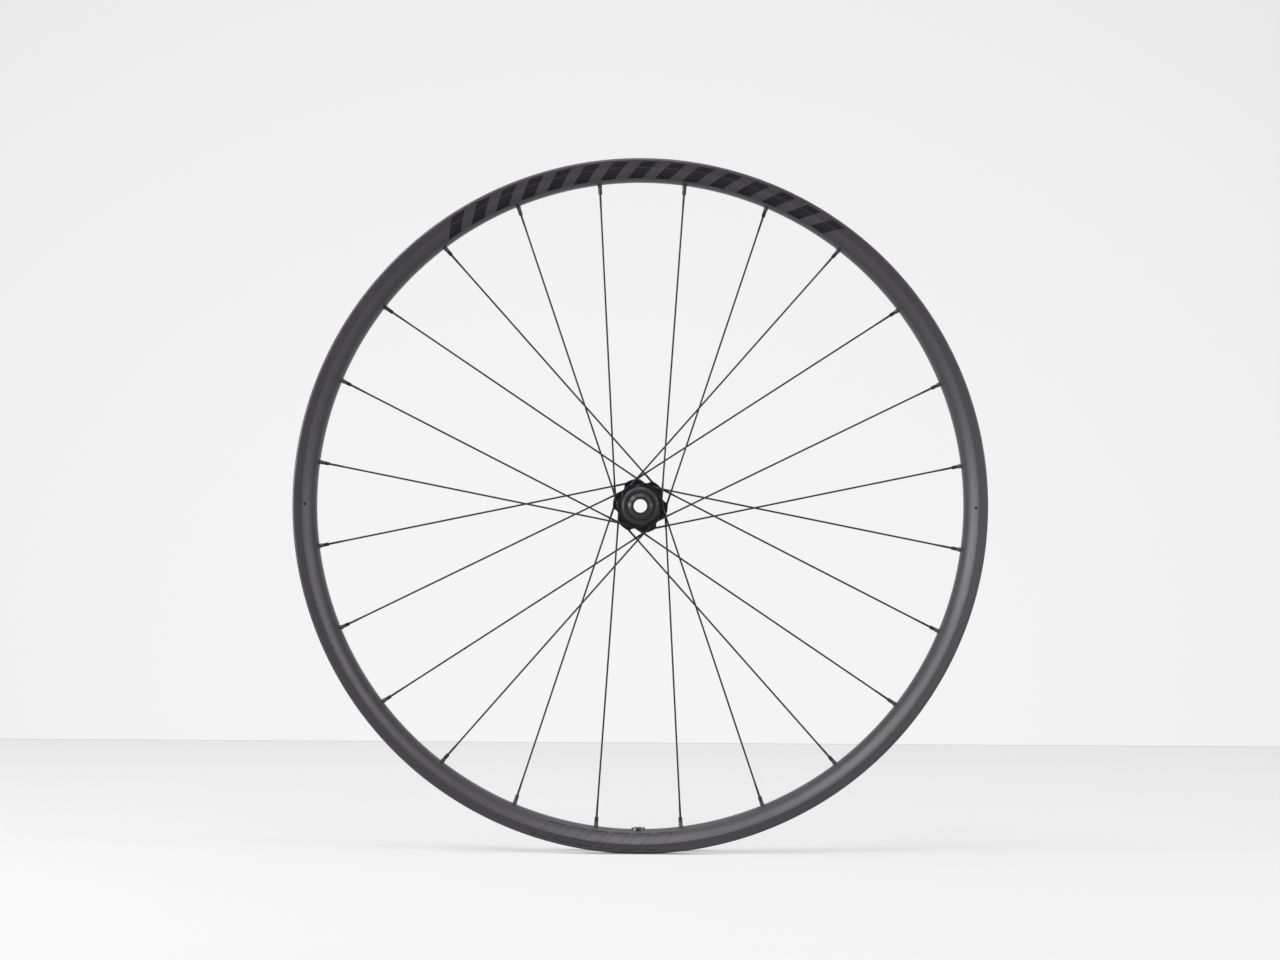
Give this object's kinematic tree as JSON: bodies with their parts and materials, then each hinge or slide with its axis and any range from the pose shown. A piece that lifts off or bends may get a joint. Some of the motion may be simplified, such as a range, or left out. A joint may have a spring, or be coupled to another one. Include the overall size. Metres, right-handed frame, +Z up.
{
  "type": "bicycle wheel",
  "caption": "Front bicycle wheel: hollow shallow rim, tangentially laced straight-pull spokes and a lobed disc-brake hub that spins on cartridge bearings around a through-axle bore.",
  "frame": {"origin": "centre of the wheel, on the axle's axis, midway between the two fork faces", "axes": "+Y along the axle towards the rotor side, +Z up with the valve hole at -Z, +X the way the bicycle goes"},
  "size_m": [0.633, 0.1, 0.633],
  "materials": {
    "rim_carbon": "satin charcoal carbon",
    "rim_strip": "matte black",
    "spoke_steel": "black oxide",
    "nipple_black": "black anodised",
    "hub_black": "satin black anodised",
    "cap_black": "dark machined",
    "axle_alloy": "machined",
    "bearing_steel": "ground",
    "cage_nylon": "natural",
    "rubber_black": "matte"
  },
  "bodies": {
    "axle_set": {"axle_tube": "axle_alloy", "end_cap_right": "cap_black", "o_ring_right": "rubber_black", "bearing_right_inner_race": "bearing_steel", "end_cap_left": "cap_black", "o_ring_left": "rubber_black", "bearing_left_inner_race": "bearing_steel"},
    "wheel": {"rim": "rim_carbon", "rim_strip": "rim_strip", "hub_shell": "hub_black", "nipples": "nipple_black", "spoke_01": "spoke_steel", "spoke_02": "spoke_steel", "spoke_03": "spoke_steel", "spoke_04": "spoke_steel", "spoke_05": "spoke_steel", "spoke_06": "spoke_steel", "spoke_07": "spoke_steel", "spoke_08": "spoke_steel", "spoke_09": "spoke_steel", "spoke_10": "spoke_steel", "spoke_11": "spoke_steel", "spoke_12": "spoke_steel", "spoke_13": "spoke_steel", "spoke_14": "spoke_steel", "spoke_15": "spoke_steel", "spoke_16": "spoke_steel", "spoke_17": "spoke_steel", "spoke_18": "spoke_steel", "spoke_19": "spoke_steel", "spoke_20": "spoke_steel", "spoke_21": "spoke_steel", "spoke_22": "spoke_steel", "spoke_23": "spoke_steel", "spoke_24": "spoke_steel", "bearing_right_outer_race": "bearing_steel", "bearing_right_seal_outer": "rubber_black", "bearing_right_seal_inner": "rubber_black", "bearing_left_outer_race": "bearing_steel", "bearing_left_seal_outer": "rubber_black", "bearing_left_seal_inner": "rubber_black"},
    "ball_set_right": {"bearing_right_balls": "bearing_steel", "bearing_right_cage": "cage_nylon"},
    "ball_set_left": {"bearing_left_balls": "bearing_steel", "bearing_left_cage": "cage_nylon"}
  },
  "joints": [
    {"name": "wheel_spin", "type": "hinge", "parent": "axle_set", "child": "wheel", "pos_m": [0, 0, 0], "axis": [0, 1, 0], "continuous": true},
    {"name": "ball_set_right_spin", "type": "hinge", "parent": "axle_set", "child": "ball_set_right", "pos_m": [0, -0.0379, 0], "axis": [0, 1, 0], "continuous": true},
    {"name": "ball_set_left_spin", "type": "hinge", "parent": "axle_set", "child": "ball_set_left", "pos_m": [0, 0.0379, 0], "axis": [0, 1, 0], "continuous": true}
  ],
  "couplings": [
    {"joint": "ball_set_right_spin", "follows": "wheel_spin", "ratio": 0.5647},
    {"joint": "ball_set_left_spin", "follows": "wheel_spin", "ratio": 0.5647}
  ]
}
